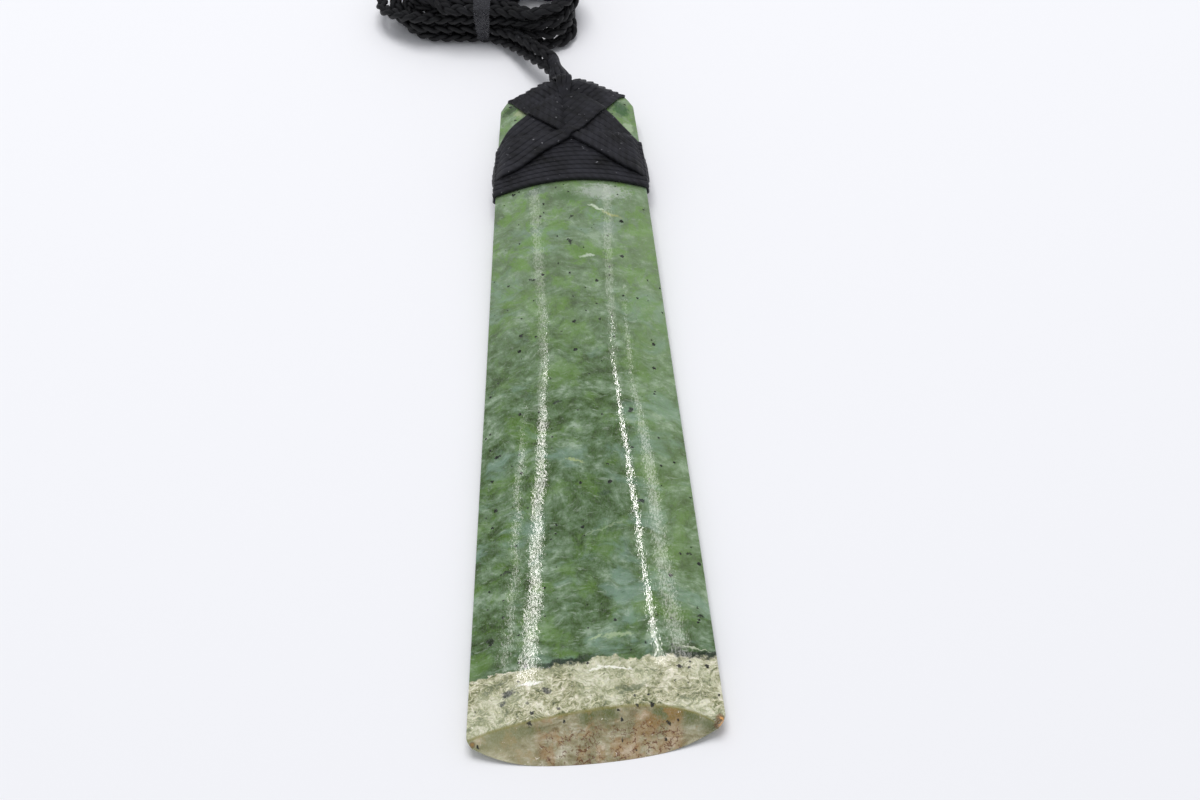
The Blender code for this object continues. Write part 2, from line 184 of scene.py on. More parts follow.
def smooth_line(points, spacing, outward=None):
    """Evenly spaced points on a smooth curve through the given ones, and their directions out."""
    points = [Vector(point) for point in points]
    directions = outward or points
    knots = [points[0] * 2 - points[1], *points, points[-1] * 2 - points[-2]]
    fine = []
    spans = zip(knots, knots[1:], knots[2:], knots[3:])
    for number, (before, start, end, after) in enumerate(spans):
        leave, arrive = (end - before) / 2, (after - start) / 2
        for step in range(10):
            t = step / 10
            place = (
                start * (2 * t**3 - 3 * t**2 + 1)
                + leave * (t**3 - 2 * t**2 + t)
                + end * (3 * t**2 - 2 * t**3)
                + arrive * (t**3 - t**2)
            )
            fine.append((place, directions[number].lerp(directions[number + 1], t)))
    fine.append((points[-1], directions[-1]))
    line, lines_out, left_over = [fine[0][0]], [fine[0][1]], 0.0
    for (here, here_out), (there, there_out) in zip(fine, fine[1:]):
        length = (there - here).length
        reach = spacing - left_over
        while reach <= length:
            line.append(here.lerp(there, reach / length))
            lines_out.append(here_out.lerp(there_out, reach / length))
            reach += spacing
        left_over = length - (reach - spacing)
    return (line, lines_out) if outward else line


def lifts_of(line):
    """For each point of a line, the direction square to it that points up most."""
    lifts = []
    for i, here in enumerate(line):
        along = line[min(i + 1, len(line) - 1)] - line[max(i - 1, 0)]
        lifts.append(along.cross(Vector((0, 0, 1))).cross(along).normalized())
    return lifts


def cord_skin(name, runs, across, high, sides, surface, squareness=1.0):
    """One mesh of cords with an oval section. Each run is (points, directions out, closed), in mm.

    The UV map goes round each cord from 0 to 1, and along it in metres. A shorter direction makes
    the cord thinner there. A squareness below 1 makes its section squarer, as on cord that is
    pressed flat.
    """
    points, faces, corners = [], [], []
    for line, outward, closed in runs:
        first, count, travel = len(points), len(line), [0.0]
        for i, here in enumerate(line):
            ahead = line[(i + 1) % count] if closed or i + 1 < count else here
            behind = line[i - 1] if closed or i else here
            along = (ahead - behind).normalized()
            lift = (outward[i] - along * outward[i].dot(along)).normalized()
            side = along.cross(lift)
            lift *= outward[i].length
            for k in range(sides):
                angle = 2 * math.pi * k / sides
                wide, tall = math.cos(angle), math.sin(angle)
                wide = math.copysign(abs(wide) ** squareness, wide)
                tall = math.copysign(abs(tall) ** squareness, tall)
                offset = side * (across / 2 * wide) + lift * (high / 2 * tall)
                points.append((here + offset) * MM)
            travel.append(travel[-1] + (line[(i + 1) % count] - here).length * MM)
        for i in range(count if closed else count - 1):
            here, there = first + i * sides, first + (i + 1) % count * sides
            for k in range(sides):
                after = (k + 1) % sides
                faces.append((here + k, there + k, there + after, here + after))
                u, v = (k / sides, (k + 1) / sides), (travel[i], travel[i + 1])
                corners += [(u[0], v[0]), (u[0], v[1]), (u[1], v[1]), (u[1], v[0])]
        if not closed:
            last = first + (count - 1) * sides
            faces.append(tuple(first + k for k in range(sides)))
            faces.append(tuple(last + k for k in reversed(range(sides))))
            corners += [(0.0, 0.0)] * sides + [(0.0, travel[count - 1])] * sides
    mesh = bpy.data.meshes.new(name)
    mesh.from_pydata(points, [], faces)
    layer = mesh.uv_layers.new(name="UVMap")
    for loop, corner in zip(layer.data, corners):
        loop.uv = corner
    mesh.materials.append(surface)
    mesh.shade_smooth()
    return new_object(name, mesh)


def hex_colour(text):
    """An sRGB hex colour as the linear one that a shader takes."""
    shares = [int(text[i : i + 2], 16) / 255 for i in (1, 3, 5)]
    return (*(s / 12.92 if s <= 0.04045 else ((s + 0.055) / 1.055) ** 2.4 for s in shares), 1.0)


def node(material, kind, *inputs, output=0, stops=(), **named):
    """Adds a node to a material and gives back one of its outputs.

    Inputs come in the node's own order, in a dictionary, or by name with a capital, and are links,
    values or hex colours. stops are a ramp's. Names in small letters are the node's settings.
    """
    made = material.node_tree.nodes.new("ShaderNode" + kind)
    sockets = dict(inputs[0]) if inputs and isinstance(inputs[0], dict) else dict(enumerate(inputs))
    for name, value in named.items():
        if name[0].isupper():
            sockets[name.replace("_", " ")] = value
        else:
            setattr(made, name, value)
    for name, value in sockets.items():
        if isinstance(value, bpy.types.NodeSocket):
            material.node_tree.links.new(value, made.inputs[name])
        else:
            made.inputs[name].default_value = hex_colour(value) if isinstance(value, str) else value
    if stops:
        ramp = made.color_ramp.elements
        while len(ramp) < len(stops):
            ramp.new(0.5)
        for stop, (position, colour) in zip(ramp, stops):
            stop.position = position
            stop.color = hex_colour(colour)
    return made.outputs[output] if made.outputs else None


def new_material(name):
    """A material with nothing in it."""
    made = bpy.data.materials.new(name)
    made.use_nodes = True
    made.node_tree.nodes.clear()
    return made


def waxed_cord_material(name, dark, light, twist, relief, fuzz):
    """Waxed cord: a matt wax film over spun yarn, so charcoal with a dull sheen and a fine slant.

    dark and light are the ends of its colour, which varies where the wax is rubbed and is painted
    darker in the yarn's grooves, as shade, and lighter on its crests, as lit. twist is the length
    of one turn of the yarn in mm, relief is how clear the yarns are, and fuzz how pale the wax has
    rubbed.
    """
    made = new_material(name)
    round_cord = node(made, "UVMap", uv_map="UVMap")
    u, v = (node(made, "SeparateXYZ", round_cord, output=axis) for axis in "XY")
    along = node(made, "Math", v, 2 * math.pi / (twist * MM), operation="MULTIPLY")
    phase = node(made, "Math", u, 4 * math.pi, along, operation="MULTIPLY_ADD")
    yarn = node(made, "Math", phase, operation="SINE")
    place = node(made, "TexCoord", output="Object")
    rubbed = node(made, "TexNoise", place, Scale=320.0, Detail=5.0)
    specks = node(made, "TexNoise", place, Scale=1500.0, Detail=2.0)
    # Painted shade and light: the yarn's grooves darken the colour and its crests lighten it, over
    # the rubbed tone.
    tone_and_groove_shade = node(made, "Math", yarn, 0.2 * relief, rubbed, operation="MULTIPLY_ADD")
    colour = node(made, "ValToRGB", tone_and_groove_shade, stops=((0.25, dark), (0.72, light)))
    pale = node(made, "MapRange", specks, 0.7, 0.8, 0.0, fuzz)
    flecked = node(made, "Mix", {0: pale, 6: colour, 7: "#8C8C90"}, output=2, data_type="RGBA")
    height = node(made, "Math", specks, 0.5, yarn, operation="MULTIPLY_ADD")
    shader = node(
        made,
        "BsdfPrincipled",
        Base_Color=flecked,
        Roughness=node(made, "MapRange", rubbed, To_Min=0.42, To_Max=0.66),
        Normal=node(made, "Bump", Height=height, Strength=relief, Distance=0.00006),
        IOR=1.44,
        Specular_IOR_Level=0.36,
    )
    node(made, "OutputMaterial", shader)
    return made


# From the whipping to the hank, in mm from the middle of the butt on the table.
lower_start = [
    (-1.7, 3.4, 5.2), (-2.4, 6.2, 4.9), (-4.0, 8.9, 4.2), (-5.9, 11.7, 3.3),
    (-7.9, 14.8, 2.3), (-10.0, 17.4, 1.5), (-11.9, 18.8, 1.2),
]
upper_start = [
    (-1.4, 6.4, 5.2), (-1.7, 8.0, 5.3), (-2.9, 9.6, 5.3),
    (-4.6, 11.5, 5.1), (-6.5, 13.9, 4.7), (-8.7, 16.6, 3.9),
]
# The end of the loop, in the hank's own frame: along, back from the front, up.
hank_eye = [
    (-11.2, 1.3, 5.2), (-14.0, 2.4, 4.7), (-16.6, 4.2, 4.0), (-17.6, 6.9, 3.5), (-16.8, 9.9, 3.8),
    (-14.4, 11.2, 5.0), (-11.6, 9.6, 6.6), (-9.8, 6.6, 7.6), (-8.3, 3.6, 7.7),
]
from_butt = Vector((0, BUTT, 0))
wound_lower = hank_winding((0, 0, 2, 2), 0.6, -8.6)
wound_upper = hank_winding((1, 1, 3, 3), 1.2, -5.6)
in_hank = [*wound_lower, *hank_eye, *wound_upper[::-1]]
neck_route = [Vector(p) + from_butt for p in lower_start]
neck_route += [HANK_PLACE + HANK_TURN @ Vector(p) for p in in_hank]
neck_route += [Vector(p) + from_butt for p in upper_start[::-1]]
neck_line = smooth_line(neck_route, LINE_STEP)
PLAIT_PITCH = 6.6  # one strand's way across and back
SWING, DIP = 0.6, 0.36
neck_lifts = lifts_of(neck_line)
last = len(neck_line) - 1
gathered_in = [0.25 + 0.75 * ease(min(i, last - i) / 5) for i in range(last + 1)]
neck_strands = []
for strand in range(3):
    strand_points = []
    for i, here in enumerate(neck_line):
        along = neck_line[min(i + 1, last)] - neck_line[max(i - 1, 0)]
        side = along.cross(neck_lifts[i]).normalized()
        phase = 2 * math.pi * (i * LINE_STEP / PLAIT_PITCH + strand / 3)
        weave = side * (SWING * math.sin(phase)) + neck_lifts[i] * (DIP * math.sin(2 * phase))
        strand_points.append(here + weave * gathered_in[i])
    thinned = [lift * (0.5 + 0.5 * share) for lift, share in zip(neck_lifts, gathered_in)]
    neck_strands.append((strand_points, thinned, False))
# The plait's colours are darker than the lashing's, as painted shade for the self-shadow inside the
# hank.
shaded_plait_material = waxed_cord_material("waxed_cord_plait", "#070708", "#18181B", 1.6, 0.3, 0.4)
neck_cord = cord_skin("neck_cord", neck_strands, STRAND, STRAND * 0.92, 8, shaded_plait_material)
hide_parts("neck_cord_1", "neck_cord_2", "neck_cord_hank")
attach(neck_cord, "root")

# Hank tie
# A clear plastic band, pulled round the middle of the hank and pressed together at the back.
TIE_WIDE, TIE_THICK = 2.9, 0.35
tie_material = new_material("clear_pvc_band")  # soft film: see-through, with sharp reflections
tie_place = node(tie_material, "TexCoord", output="Object")
tie_folds = node(tie_material, "TexNoise", tie_place, Scale=300.0, Detail=1.0)
tie_shader = node(
    tie_material,
    "BsdfPrincipled",
    Base_Color="#5A5A60",
    Roughness=0.16,
    IOR=1.53,
    Alpha=0.2,
    Normal=node(tie_material, "Bump", Height=tie_folds, Strength=0.3, Distance=0.0003),
)
node(tie_material, "OutputMaterial", tie_shader)
bpy.ops.mesh.primitive_cylinder_add(
    vertices=64, radius=1, depth=TIE_WIDE, end_fill_type="NOTHING", rotation=(0, math.pi / 2, 0)
)
hank_tie = bpy.context.object
hank_tie.name = "hank_tie_band"
bpy.ops.object.transform_apply(location=True, rotation=True, scale=True)
TIE_MIDDLE = Vector((0.45, 4.375, 4.595))  # in the hank's own frame
TIE_HALF_DEEP, TIE_HALF_TALL = 4.475, 4.125
for vertex in hank_tie.data.vertices:
    along, across, rise = vertex.co
    squared = 1 / max(abs(across) ** 4 + abs(rise) ** 4, 1e-9) ** 0.25
    across, rise = across * squared, rise * squared
    tall = TIE_HALF_TALL + 0.048 * math.sin(5 * math.atan2(rise, across))
    here = TIE_MIDDLE + Vector((along * (0.82 + 0.18 * rise), across * TIE_HALF_DEEP, rise * tall))
    vertex.co = (HANK_PLACE + HANK_TURN @ here) * MM
wall = hank_tie.modifiers.new("wall", "SOLIDIFY")
wall.thickness = TIE_THICK * MM
wall.offset = 1
bpy.ops.object.modifier_apply(modifier="wall")
bpy.ops.object.shade_smooth_by_angle(angle=math.radians(40))
hank_tie.data.materials.append(tie_material)
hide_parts("hank_tie")
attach(hank_tie, "root")

# Stone blade
# One piece of polished nephrite: a domed back, thin sides, a bevel ground across the broad end and
# an underside that rolls up to its edges and lifts toward the butt, under the lashing. In these
# sections y is 0 on the line through the blade's corners.
LENGTH = 124.6  # from that line to the butt
TO_ROW = BUTT - LENGTH
BLADE_WIDTH, BUTT_WIDTH = 36.3, 21.9
BLADE_CROWN, BUTT_CROWN = 4.8, 7.1  # the ridge's height
BLADE_SIDE, BUTT_SIDE = 0.6, 0.9  # height of the side edges
SIDE_ROUND = 0.25
BLADE_ROLL, BUTT_ROLL = 1.9, 0.5  # how far the underside rolls up to the sides
FLAT_SHARE = 0.42  # share of the half width that is flat underneath
CORNER_START, CORNER_INSET = 1.25, 0.5
BUTT_ROUND, BUTT_CORNER, BUTT_DROP, BUTT_RISE, BUTT_ARCH = 1.3, 1.1, 0.8, 0.15, 1.2
BUTT_LIFT, LIFT_START, LIFT_END = 2.45, 60, 114  # the underside lifts off the table between these
ARCH_START = 112
ROW_BLEND = 24  # the rows are straight from here to the butt
COLUMNS = 46  # across half of the back, and of the underside
EDGE_STEPS = 4
CREST_SOFTNESS = 0.35


def along_blade(start, end, y):
    return blend(start, end, min(max(y / LENGTH, 0.0), 1.0))


def half_width(y):
    share = min(y / LENGTH, 1.0)
    return blend(BLADE_WIDTH, BUTT_WIDTH, share) / 2 + 0.4 * share * (1 - share)


def butt_rounding(y):
    reach = min(max((y - LENGTH + BUTT_ROUND) / BUTT_ROUND, 0.0), 1.0)
    return 1 - math.sqrt(1 - reach * reach), math.asin(reach)


def plan_inset(side, y):
    """How far a side is drawn in at its corners. The left corner of the blade reaches further."""
    past = max(CORNER_START + 0.9 * side - y, 0.0) / CORNER_START
    drawn_in = past**2 if past < 2 else 4 * (past - 1)
    return CORNER_INSET * drawn_in + BUTT_CORNER * min(max((y - LENGTH) / BUTT_ROUND + 1, 0.0), 1.0)


def butt_arch(x, y):
    """How far the butt end falls back toward its corners."""
    share = x / half_width(y)
    return (BUTT_ARCH + 0.15 * share) * share**4 * ease((y - ARCH_START) / (LENGTH - ARCH_START))


def underside(share, y):
    beyond_flat = max(abs(share) - FLAT_SHARE, 0.0) / (1 - FLAT_SHARE)
    lift = BUTT_LIFT * ease((y - LIFT_START) / (LIFT_END - LIFT_START))
    roll = along_blade(BLADE_ROLL, BUTT_ROLL, y)
    return lift + roll * beyond_flat**2 + BUTT_RISE * butt_rounding(y)[0]


def side_top(y):
    return underside(1, y) + along_blade(BLADE_SIDE, BUTT_SIDE, y) - BUTT_RISE * butt_rounding(y)[0]


def crown(y):
    return along_blade(BLADE_CROWN, BUTT_CROWN, y) - BUTT_DROP * butt_rounding(y)[0]


def dome(x, y):
    return crown(y) - (crown(y) - side_top(y)) * (x / half_width(y)) ** 2


def cutting_edge(x):
    """y of the cutting edge: bowed forward, and a little askew."""
    share = x / half_width(0)
    return -3.55 + 1.03 * share + 2.02 * share**2 - 0.13 * share**3 + 1.53 * share**4


def bevel_crest(x):
    """y where the bevel meets the back. Ground by hand, it reaches furthest right of the middle."""
    share = x / half_width(0)
    return 2.42 + 2.09 * share - 0.63 * share**2 - 2.17 * share**3 - 2.22 * share**4


def bevel_height(x, y):
    start = cutting_edge(x)
    end = max(bevel_crest(x), start + 0.05)
    foot = underside(min(abs(x) / half_width(0), 1.0), start)
    return foot + (y - start) * (dome(x, end) - foot) / (end - start)


def hand_polish(x, y):
    """How far the back strays from true, as hand polishing leaves it."""
    broad = math.sin(0.17 * y + 0.5 * math.sin(0.3 * x)) * math.sin(0.42 * x + 0.06 * y)
    return 0.012 * broad + 0.004 * math.sin(0.55 * y + 0.8 * x)


def section_point(side, share, part, y):
    """A point of the stone's section at y, as (x, z, lean).

    share goes from the middle to the side, and part from 0 on the back to 1 on the underside, round
    the side edge. lean is the angle of the surface: 0 faces up and half a turn faces down.
    """
    full = half_width(y)
    reach = full - plan_inset(side, y) - SIDE_ROUND
    x = share * reach
    rise = crown(y) - side_top(y)
    top = crown(y) - rise * (x / full) ** 2 - SIDE_ROUND
    top_lean = math.atan(2 * rise * x / full**2)
    low = underside(x / full, y) + SIDE_ROUND
    ahead = underside(x / full + 0.01, y) - underside(x / full, y)
    low_lean = math.pi - math.atan(ahead / (0.01 * full))
    z = top if part <= 0.5 else low
    if part <= 0.5:
        lean = blend(top_lean, math.pi / 2, part * 2)
    else:
        lean = blend(math.pi / 2, low_lean, part * 2 - 1)
    return side * (x + SIDE_ROUND * math.sin(lean)), z + SIDE_ROUND * math.cos(lean), lean


def stone_point(side, column, row_y):
    """A point of the skin, and how far it is above or below the bevel's crest.

    Columns go from the crown over the side edge to the middle of the underside. row_y is where the
    row crosses the stone; near the blade the rows follow the cutting edge.
    """
    top_count, edge_count = COLUMNS + 1, EDGE_STEPS - 1
    if column < top_count:
        share, part = column / COLUMNS, 0.0
    elif column < top_count + edge_count:
        share, part = 1.0, (column - top_count + 1) / EDGE_STEPS
    else:
        share, part = 1 - (column - top_count - edge_count) / COLUMNS, 1.0
    y = row_y
    for _ in range(4):
        full = half_width(y)
        reach = share * (full - plan_inset(side, y) - SIDE_ROUND)
        under = underside(reach / full, y)
        rim_x = side * (reach + SIDE_ROUND * share**8)
        y = row_y + cutting_edge(rim_x) * (1 - ease(row_y / ROW_BLEND))
    x, z, _ = section_point(side, share, part, y)
    if part == 0.0:
        z += hand_polish(x, y) * min(row_y / 4, 1) * (1 - ease((y - 95) / 10))
    ground = bevel_height(x, y) + min(row_y / 0.03, 1) * 0.1
    crest = ground - z
    if part < 1.0:
        near = max(CREST_SOFTNESS - abs(crest), 0) / CREST_SOFTNESS
        z = min(z, ground) - near * near * CREST_SOFTNESS / 4
        z = max(z, under + 0.002 * row_y)
    return Vector((x, y - butt_arch(x, y) + TO_ROW, z)), crest


row_places = [0.0, 0.03, 0.1] + [0.1 + 0.14 * step for step in range(1, 61)]
while row_places[-1] < LENGTH - BUTT_ROUND - 1.0:
    row_places.append(row_places[-1] + min(0.14 + 0.03 * (len(row_places) - 62), 0.9))
row_places[-1] = LENGTH - BUTT_ROUND
for angle in range(15, 105, 15):
    row_places.append(LENGTH - BUTT_ROUND * (1 - math.sin(math.radians(angle))))
half_columns = 2 * (COLUMNS + 1) + EDGE_STEPS - 1
round_columns = 2 * half_columns - 2
bpy.ops.mesh.primitive_grid_add(
    x_subdivisions=round_columns, y_subdivisions=len(row_places) - 1, size=1, calc_uvs=False
)
stone = bpy.context.object
stone.name = "polished_blade"
crests = []
for vertex in stone.data.vertices:
    column = round((vertex.co.x + 0.5) * round_columns) % round_columns
    row = round((vertex.co.y + 0.5) * (len(row_places) - 1))
    side = 1 if column < half_columns else -1
    column = column if side > 0 else round_columns - column
    place, crest = stone_point(side, column, row_places[row])
    vertex.co = place * MM
    crests.append(crest)
crest_layer = stone.data.attributes.new("crest", "FLOAT", "POINT")
crest_layer.data.foreach_set("value", crests)
bpy.ops.object.mode_set(mode="EDIT")
bpy.ops.mesh.select_all(action="SELECT")
bpy.ops.mesh.remove_doubles(threshold=0.000004)
bpy.ops.mesh.select_all(action="DESELECT")
bpy.ops.mesh.select_non_manifold()
bpy.ops.mesh.fill()
bpy.ops.mesh.select_all(action="SELECT")
bpy.ops.mesh.normals_make_consistent(inside=False)
bpy.ops.object.mode_set(mode="OBJECT")
bpy.ops.object.shade_smooth_by_angle(angle=math.radians(30))

# Polished nephrite: mottled green stone with pale fibrous clouds and black specks, glossy but
# grainy in its reflections, with a buff, fibrous rind at the blade end and an earth-stained bevel.
nephrite = new_material("polished_nephrite")
jade = partial(node, nephrite)  # adds a node to this material
SMOOTH = {"interpolation_type": "SMOOTHSTEP"}
stone_place = jade("TexCoord", output="Object")
mm = jade("Mapping", stone_place, Location=(0, -TO_ROW, 0), Scale=(1000, 1000, 1000))
stone_x, stone_y = (jade("SeparateXYZ", mm, output=axis) for axis in "XY")
crest = jade("Attribute", output="Fac", attribute_name="crest")


def stirred(place, reach, **noise):
    """A place moved about by a noise, by at most reach."""
    moved = jade("TexNoise", mm, output="Color", **noise)
    return jade("VectorMath", moved, reach, place, operation="MULTIPLY_ADD")


def painted(under, paint, strength, pattern, low, high):
    """A colour with paint over it, from nothing where the pattern is at low to strength at high."""
    share = jade("MapRange", pattern, low, high, 0.0, strength, **SMOOTH)
    return jade("Mix", {0: share, 6: under, 7: paint}, output=2, data_type="RGBA")


# Mottled green: streaky clouds that run across the blade, and lengthwise in one patch near its
# middle. The scales are patches per mm.
warp = jade(
    "VectorMath",
    jade("TexNoise", mm, output="Color", Scale=0.11, Detail=2.0, Roughness=0.55),
    (0.5, 0.5, 0.5),
    operation="SUBTRACT",
)
warped = jade("VectorMath", warp, (7.0, 7.0, 7.0), mm, operation="MULTIPLY_ADD")
across = jade("Mapping", warped, Rotation=(0, 0, -0.28), Scale=(0.15, 0.27, 0.2))
lengthwise = jade("Mapping", warped, Rotation=(0, 0, 0.12), Scale=(0.32, 0.14, 0.2))
across_cloud, lengthwise_cloud = (
    jade("TexNoise", place, Scale=1.0, Detail=9.0, Roughness=0.7, Distortion=0.15)
    for place in (across, lengthwise)
)
patch_place = jade("Mapping", mm, Location=(-1, 38, 4), Scale=(11, 11, 30), vector_type="TEXTURE")
from_patch = jade("VectorMath", patch_place, output="Value", operation="LENGTH")
in_patch = jade("MapRange", from_patch, 1.1, 0.6, **SMOOTH)
cloud = jade("Mix", {0: in_patch, 2: across_cloud, 3: lengthwise_cloud})
mottle = jade("TexNoise", mm, Scale=0.5, Detail=8.0, Roughness=0.7)
cloud = jade("Mix", {0: 0.4, 2: cloud, 3: mottle})
green = jade(
    "ValToRGB",
    cloud,
    stops=(
        (0.4, "#2E4218"), (0.46, "#455E31"), (0.5, "#566F49"), (0.545, "#6C8363"), (0.6, "#93A78D")
    ),
)
olive = jade("TexNoise", warped, Scale=0.16, Detail=7.0, Roughness=0.66)
green = painted(green, "#5E8132", 0.55, olive, 0.5, 0.62)
bluish = jade("TexNoise", across, Scale=0.55, Detail=6.0, Roughness=0.64)
green = painted(green, "#7C9888", 0.62, bluish, 0.52, 0.64)
fibre_place = jade("Mapping", warped, Rotation=(0, 0, -0.35), Scale=(0.55, 1.7, 1.0))
fibres = jade("TexNoise", fibre_place, Scale=1.0, Detail=6.0, Roughness=0.72, Distortion=0.3)
green = painted(green, "#B3C2B0", 0.43, fibres, 0.54, 0.7)
green = painted(green, "#33481F", 0.38, fibres, 0.46, 0.32)
at_right = jade("MapRange", stone_x, 4.0, 13.0, 0.0, 0.22, **SMOOTH)
green = painted(green, "#93AE78", at_right, stone_y, 12.0, 30.0)
green = painted(green, "#41583A", 0.12, from_patch, 1.1, 0.6)
green = painted(green, "#8A9D7E", 0.36, stone_y, 50.0, 92.0)
grass = jade("TexNoise", warped, Scale=0.3, Detail=7.0, Roughness=0.7)
grassy = jade("MapRange", grass, 0.5, 0.6, 0.0, 0.5, **SMOOTH)
green = painted(green, "#6C943C", grassy, stone_y, 50.0, 92.0)

# Rind: buff and fibrous, with a ragged border and a dark line along parts of it.
ragged = jade("TexNoise", mm, Scale=0.42, Detail=7.0, Roughness=0.68)
border = jade("Math", stone_x, 0.07, 7.9, operation="MULTIPLY_ADD")
border = jade("Math", ragged, 5.0, border, operation="MULTIPLY_ADD")
past_border = jade("Math", stone_y, border, operation="SUBTRACT")
swirl = stirred(mm, (9.0, 9.0, 9.0), Scale=0.22, Detail=3.0, Roughness=0.6)
hair_place = jade("Mapping", swirl, Rotation=(0, 0, -0.3), Scale=(0.4, 1.3, 0.9))
hair = jade("TexNoise", hair_place, Scale=1.3, Detail=6.0, Roughness=0.66, Distortion=0.5)
blotch = jade("TexNoise", mm, Scale=0.33, Detail=5.0, Roughness=0.6)
rind = jade(
    "ValToRGB",
    jade("Mix", {0: 0.38, 2: hair, 3: blotch}),
    stops=(
        (0.39, "#555C3C"),
        (0.45, "#868862"),
        (0.485, "#A6A582"),
        (0.515, "#BCBA9B"),
        (0.55, "#CFCCB2"),
        (0.61, "#ECE8D4"),
    ),
)
broad = jade("TexNoise", mm, Scale=0.14, Detail=2.0, Roughness=0.55)
rind = painted(rind, "#B4BB9C", 0.3, broad, 0.45, 0.6)
flake = jade("TexNoise", mm, Scale=1.7, Detail=3.0, Roughness=0.6, Distortion=1.0)
fleck_place = jade("Mapping", swirl, Rotation=(0, 0, 0.6), Scale=(0.7, 2.0, 1.5))
fleck = jade("TexNoise", fleck_place, Scale=1.0, Detail=5.0, Roughness=0.66, Distortion=0.8)
rind = painted(rind, "#ECE7C6", 0.65, fleck, 0.55, 0.66)
rind = painted(rind, "#5F643F", 0.5, fleck, 0.42, 0.33)
rind = painted(rind, "#E4E0CC", 1.0, flake, 0.64, 0.7)
stone_colour = painted(green, rind, 1.0, past_border, 0.16, -0.16)
line_left = jade("MapRange", stone_x, -8.5, -6.0, **SMOOTH)
line_left = jade("MapRange", stone_x, 1.5, -2.0, 0.0, line_left, **SMOOTH)
line_right = jade("MapRange", stone_x, 9.0, 12.5, **SMOOTH)
line_share = jade("Math", line_left, line_right, operation="MAXIMUM")
line_share = jade("Math", line_share, 0.78, 0.12, operation="MULTIPLY_ADD")
from_line = jade("Math", past_border, 0.4, operation="SUBTRACT")
from_line = jade("Math", from_line, operation="ABSOLUTE")
stone_colour = painted(stone_colour, "#1C2818", line_share, from_line, 1.0, 0.3)

# Bevel: the same stone, stained by earth, with brown cracks low down and olive under the crest.
lying = jade("Mapping", mm, Scale=(0.32, 0.55, 0.55))
stain = jade("TexNoise", lying, Scale=1.0, Detail=9.0, Roughness=0.72, Distortion=0.8)
ground = jade(
    "ValToRGB",
    stain,
    stops=(
        (0.38, "#857C58"), (0.45, "#9D9573"), (0.51, "#ADA686"), (0.57, "#BFB99D"),
        (0.66, "#E2DCC6"),
    ),
)
mossy = jade("TexNoise", mm, Scale=0.2, Detail=4.0, Roughness=0.6)
mossy = jade("MapRange", mossy, 0.4, 0.56, 0.0, 0.8, **SMOOTH)
ground = painted(ground, "#5F6A38", mossy, crest, -2.6, -0.6)
ochre = jade("TexNoise", mm, Scale=0.45, Detail=5.0, Roughness=0.65)
ground = painted(ground, "#A8864A", 0.38, ochre, 0.55, 0.64)
ground = painted(ground, "#C8C39C", 0.3, stone_x, -6.0, -13.0)
stained = []
for middle, outer, inner in ((-3.6, 5.5, 3.6), (7.0, 6.0, 4.0)):  # the two stretches with cracks
    away = jade("Math", stone_x, middle, operation="SUBTRACT")
    away = jade("Math", away, operation="ABSOLUTE")
    stained.append(jade("MapRange", away, outer, inner, **SMOOTH))
cracked = jade("Math", *stained, operation="MAXIMUM")
rust = jade("TexNoise", mm, Scale=0.3, Detail=5.0, Roughness=0.65)
rusty = jade("Math", cracked, 0.36, operation="MULTIPLY")
ground = painted(ground, "#B27C46", rusty, rust, 0.46, 0.58)
crack_place = jade("VectorMath", warp, (5.0, 5.0, 5.0), mm, operation="MULTIPLY_ADD")
crack_place = stirred(crack_place, (3.2, 1.8, 1.4), Scale=1.1, Detail=4.0, Roughness=0.65)
from_crack = jade("TexVoronoi", crack_place, Scale=0.8, feature="DISTANCE_TO_EDGE")
broken = jade("TexNoise", mm, Scale=0.9, Detail=5.0, Roughness=0.7)
broken = jade("MapRange", broken, 0.46, 0.52, 0.0, cracked, **SMOOTH)
low_down = jade("MapRange", crest, -0.7, -2.0, 0.0, 0.85, **SMOOTH)
crack_share = jade("Math", broken, low_down, operation="MULTIPLY")
ground = painted(ground, "#643618", crack_share, from_crack, 0.08, 0.03)
ground = painted(ground, "#E6DFCB", 1.0, flake, 0.67, 0.73)
stone_colour = painted(stone_colour, ground, 1.0, crest, 0.02, -0.06)
from_crest = jade("Math", crest, 0.02, operation="ADD")
from_crest = jade("Math", from_crest, operation="ABSOLUTE")
stone_colour = painted(stone_colour, "#8C8648", 0.6, from_crest, 0.26, 0.06)

